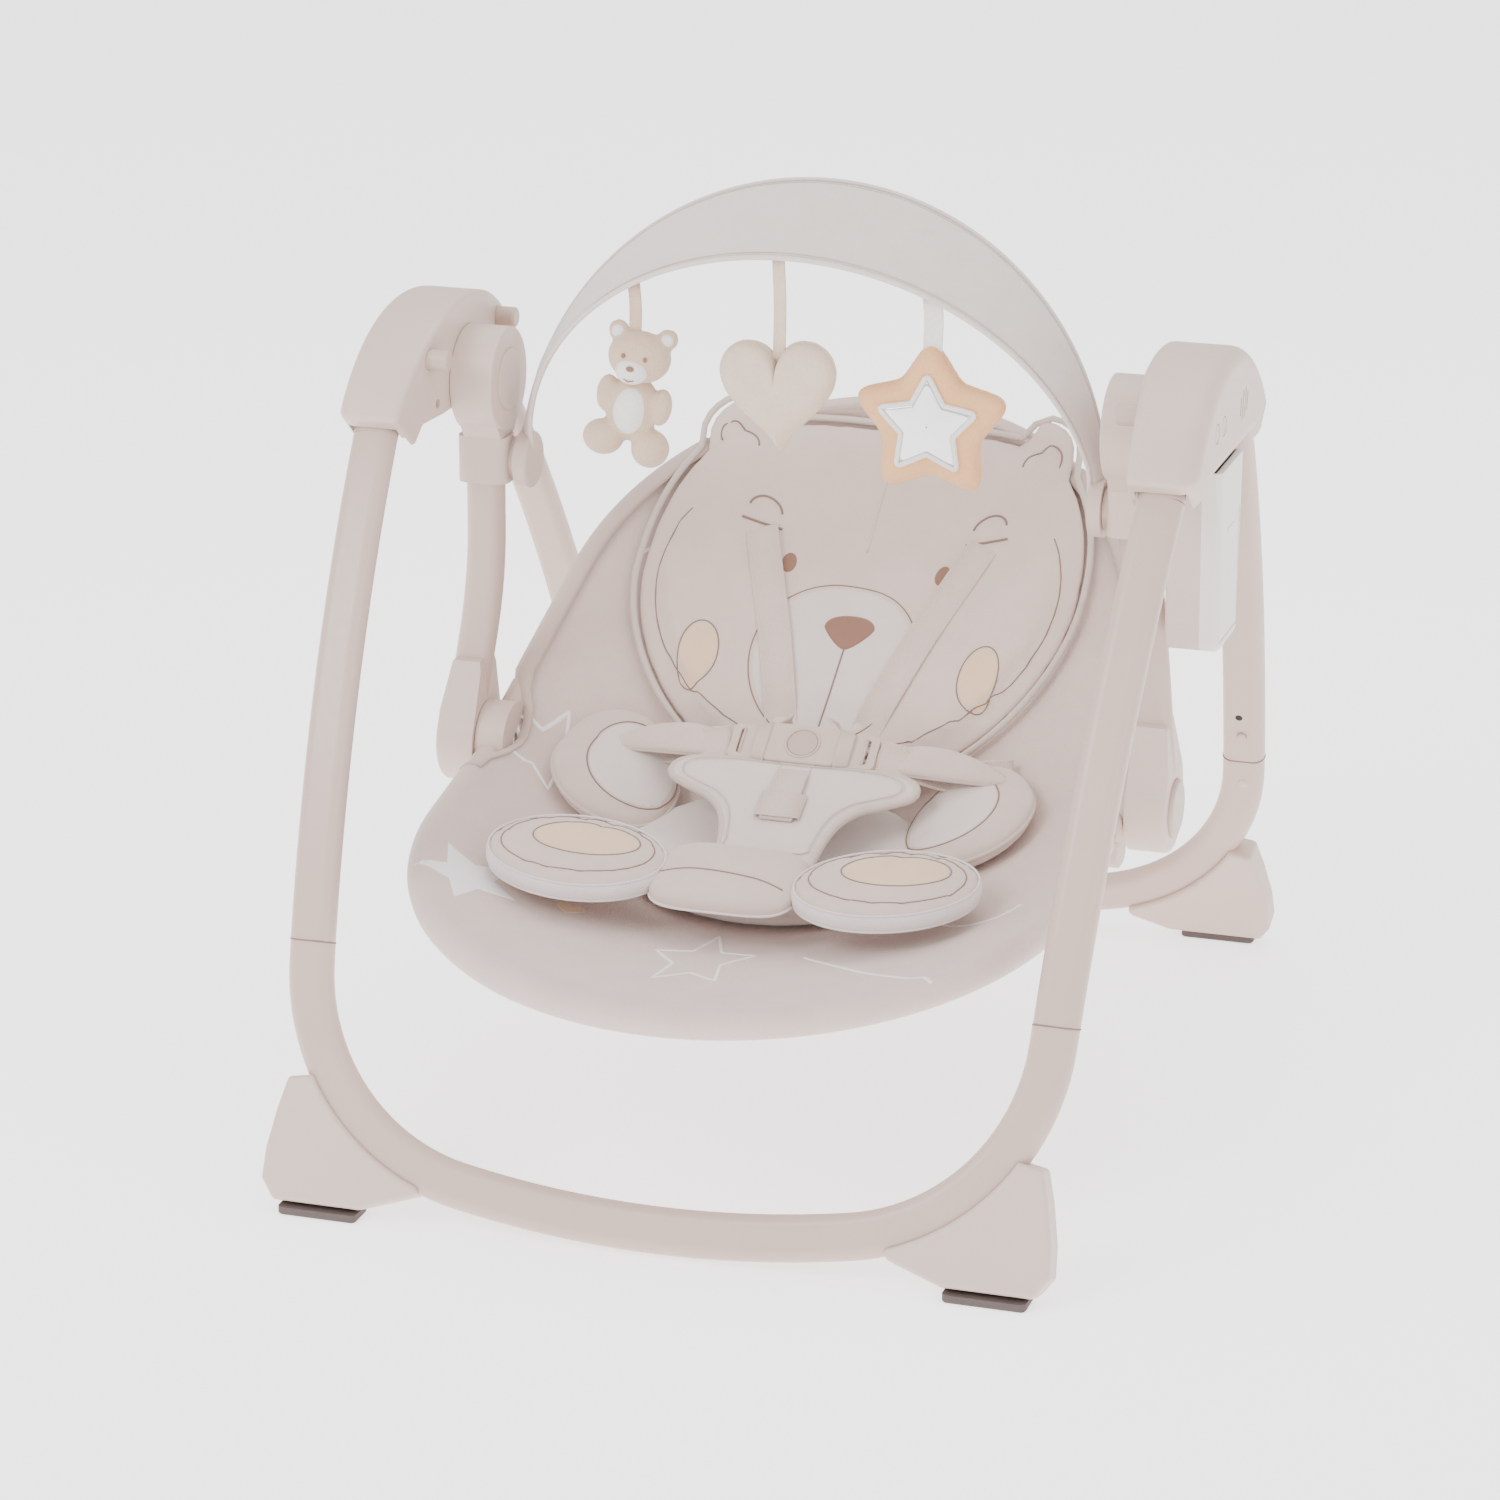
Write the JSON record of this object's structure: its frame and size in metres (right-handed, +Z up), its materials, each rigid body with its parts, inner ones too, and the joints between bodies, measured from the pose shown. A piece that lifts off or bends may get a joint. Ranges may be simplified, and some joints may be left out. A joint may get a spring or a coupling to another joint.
{
  "type": "baby swing",
  "caption": "Folding baby swing: two A-frame sides with hubs, a reclining padded seat with harness on swing arms, a motor and power box, and a tilting toy bar.",
  "frame": {"origin": "on the floor, midway between the four feet", "axes": "+X across the swing to the motor side, -Y the way the child's feet point, +Z up"},
  "size_m": [0.622, 0.742, 0.6603],
  "materials": {
    "stand_tube": "satin powder coat",
    "arm_tube": "satin powder coat",
    "seat_rod": "satin powder coat",
    "hub_shell": "fine satin texture",
    "foot_shell": "fine satin texture",
    "head_shell": "fine satin texture",
    "box_front": "fine satin texture",
    "box_back": "fine satin texture",
    "button": "satin",
    "sole": "matt moulded",
    "steel": "turned",
    "bush": "smooth nylon",
    "gear": "smooth moulded",
    "cell": "printed sleeve",
    "board": "solder mask",
    "speaker": "pressed cone",
    "seat_fabric": "woven",
    "plush_fabric": "brushed pile",
    "insert_fabric": "padded knit",
    "webbing": "woven webbing",
    "buckle_shell": "satin",
    "band_fabric": "woven",
    "toy_plush": "short plush",
    "toy_heart": "short plush",
    "toy_star": "short plush"
  },
  "bodies": {
    "stand_hub": {"left_hub_inner": "hub_shell", "left_hub_outer": "hub_shell", "right_hub_inner": "hub_shell", "right_hub_outer": "hub_shell", "hub_screws": "steel", "leg_hinge_pins": "steel", "pivot_bushes": "bush", "drive_motor": "steel", "power_box_inner": "box_front", "power_box_outer": "box_back", "battery_cells": "cell", "control_board": "board", "speaker": "speaker"},
    "front_frame": {"front_floor_tube": "stand_tube", "front_leg_tubes": "stand_tube", "front_foot_shells": "foot_shell", "front_foot_pads": "sole"},
    "rear_frame": {"rear_floor_tube": "stand_tube", "rear_leg_tubes": "stand_tube", "rear_foot_shells": "foot_shell", "rear_foot_pads": "sole"},
    "swing": {"arm_heads": "head_shell", "arm_head_caps": "head_shell", "pivot_shafts": "steel", "drive_gear": "gear", "swing_arms": "arm_tube", "toy_bar_collars": "head_shell", "hinge_housings": "head_shell", "seat_hinge_pins": "steel"},
    "seat": {"seat_hinge_blocks": "head_shell", "seat_base_tube": "seat_rod", "seat_front_loop": "seat_rod", "seat_back_loop": "seat_rod", "seat_cover": "seat_fabric", "bear_pad": "plush_fabric", "seat_insert": "insert_fabric", "crotch_pad": "insert_fabric", "harness_straps": "webbing", "harness_tongues": "buckle_shell", "buckle": "buckle_shell"},
    "toy_bar": {"toy_bar_band": "band_fabric", "toy_bar_sockets": "head_shell"},
    "bear": {"bear_toy": "toy_plush"},
    "heart": {"heart_toy": "toy_heart"},
    "star": {"star_toy": "toy_star"},
    "pinion": {"motor_pinion": "gear"},
    "battery_flap": {"battery_door": "box_back"},
    "power_key": {"power_button": "button"},
    "music_key": {"music_button": "button"},
    "buckle_release": {"buckle_button": "buckle_shell"},
    "left_front_peg": {"left_front_fold_peg": "button"},
    "left_front_snap": {"left_front_snap_button": "button"},
    "left_rear_peg": {"left_rear_fold_peg": "button"},
    "left_rear_snap": {"left_rear_snap_button": "button"},
    "left_recline": {"left_recline_button": "button"},
    "right_front_peg": {"right_front_fold_peg": "button"},
    "right_front_snap": {"right_front_snap_button": "button"},
    "right_rear_peg": {"right_rear_fold_peg": "button"},
    "right_rear_snap": {"right_rear_snap_button": "button"},
    "right_recline": {"right_recline_button": "button"}
  },
  "joints": [
    {"name": "front_fold", "type": "hinge", "parent": "stand_hub", "child": "front_frame", "pos_m": [0, -0.086, 0.516], "axis": [1, 0, 0], "range_deg": [0, 25]},
    {"name": "rear_fold", "type": "hinge", "parent": "stand_hub", "child": "rear_frame", "pos_m": [0, 0.086, 0.516], "axis": [1, 0, 0], "range_deg": [-25, 0]},
    {"name": "swing_pivot", "type": "hinge", "parent": "stand_hub", "child": "swing", "pos_m": [0, 0, 0.508], "axis": [1, 0, 0], "range_deg": [-12, 12]},
    {"name": "pinion_spin", "type": "hinge", "parent": "stand_hub", "child": "pinion", "pos_m": [0, 0.02615, 0.508], "axis": [1, 0, 0], "range_deg": [-41, 41]},
    {"name": "seat_recline", "type": "hinge", "parent": "swing", "child": "seat", "pos_m": [0, 0.002, 0.231], "axis": [1, 0, 0], "range_deg": [-12, 0]},
    {"name": "toy_bar_tilt", "type": "hinge", "parent": "swing", "child": "toy_bar", "pos_m": [0, 0.01, 0.446], "axis": [1, 0, 0], "range_deg": [-40, 25]},
    {"name": "bear_hang", "type": "hinge", "parent": "toy_bar", "child": "bear", "pos_m": [-0.115, -0.03609, 0.58912], "axis": [1, 0, 0], "range_deg": [-30, 30]},
    {"name": "heart_hang", "type": "hinge", "parent": "toy_bar", "child": "heart", "pos_m": [-0.005, -0.04657, 0.61791], "axis": [1, 0, 0], "range_deg": [-30, 30]},
    {"name": "star_hang", "type": "hinge", "parent": "toy_bar", "child": "star", "pos_m": [0.104, -0.03815, 0.59477], "axis": [1, 0, 0], "range_deg": [-30, 30]},
    {"name": "left_front_peg_pull", "type": "slide", "parent": "stand_hub", "child": "left_front_peg", "axis": [-1, 0, 0], "range_m": [0, 0.008], "stiffness_N_per_m": 400},
    {"name": "left_front_snap_press", "type": "slide", "parent": "front_frame", "child": "left_front_snap", "axis": [0, -0.9245, 0.3811], "range_m": [0, 0.0024], "stiffness_N_per_m": 800},
    {"name": "left_rear_peg_pull", "type": "slide", "parent": "stand_hub", "child": "left_rear_peg", "axis": [-1, 0, 0], "range_m": [0, 0.008], "stiffness_N_per_m": 400},
    {"name": "left_rear_snap_press", "type": "slide", "parent": "rear_frame", "child": "left_rear_snap", "axis": [0, 0.9245, 0.3811], "range_m": [0, 0.0024], "stiffness_N_per_m": 800},
    {"name": "left_recline_press", "type": "slide", "parent": "swing", "child": "left_recline", "axis": [1, 0, 0], "range_m": [0, 0.004], "stiffness_N_per_m": 600},
    {"name": "right_front_peg_pull", "type": "slide", "parent": "stand_hub", "child": "right_front_peg", "axis": [1, 0, 0], "range_m": [0, 0.008], "stiffness_N_per_m": 400},
    {"name": "right_front_snap_press", "type": "slide", "parent": "front_frame", "child": "right_front_snap", "axis": [0, -0.9245, 0.3811], "range_m": [0, 0.0024], "stiffness_N_per_m": 800},
    {"name": "right_rear_peg_pull", "type": "slide", "parent": "stand_hub", "child": "right_rear_peg", "axis": [1, 0, 0], "range_m": [0, 0.008], "stiffness_N_per_m": 400},
    {"name": "right_rear_snap_press", "type": "slide", "parent": "rear_frame", "child": "right_rear_snap", "axis": [0, 0.9245, 0.3811], "range_m": [0, 0.0024], "stiffness_N_per_m": 800},
    {"name": "right_recline_press", "type": "slide", "parent": "swing", "child": "right_recline", "axis": [-1, 0, 0], "range_m": [0, 0.004], "stiffness_N_per_m": 600},
    {"name": "power_press", "type": "slide", "parent": "stand_hub", "child": "power_key", "axis": [-1, 0, 0], "range_m": [0, 0.0015], "stiffness_N_per_m": 500},
    {"name": "music_press", "type": "slide", "parent": "stand_hub", "child": "music_key", "axis": [-1, 0, 0], "range_m": [0, 0.0015], "stiffness_N_per_m": 500},
    {"name": "buckle_press", "type": "slide", "parent": "seat", "child": "buckle_release", "axis": [0, 0.5736, -0.8191], "range_m": [0, 0.0018], "stiffness_N_per_m": 500},
    {"name": "battery_flap_hinge", "type": "hinge", "parent": "stand_hub", "child": "battery_flap", "pos_m": [0.311, 0, 0.366], "axis": [0, 1, 0], "range_deg": [0, 95]}
  ],
  "couplings": [
    {"joint": "rear_fold", "follows": "front_fold", "ratio": -1},
    {"joint": "pinion_spin", "follows": "swing_pivot", "ratio": -3.3333}
  ]
}
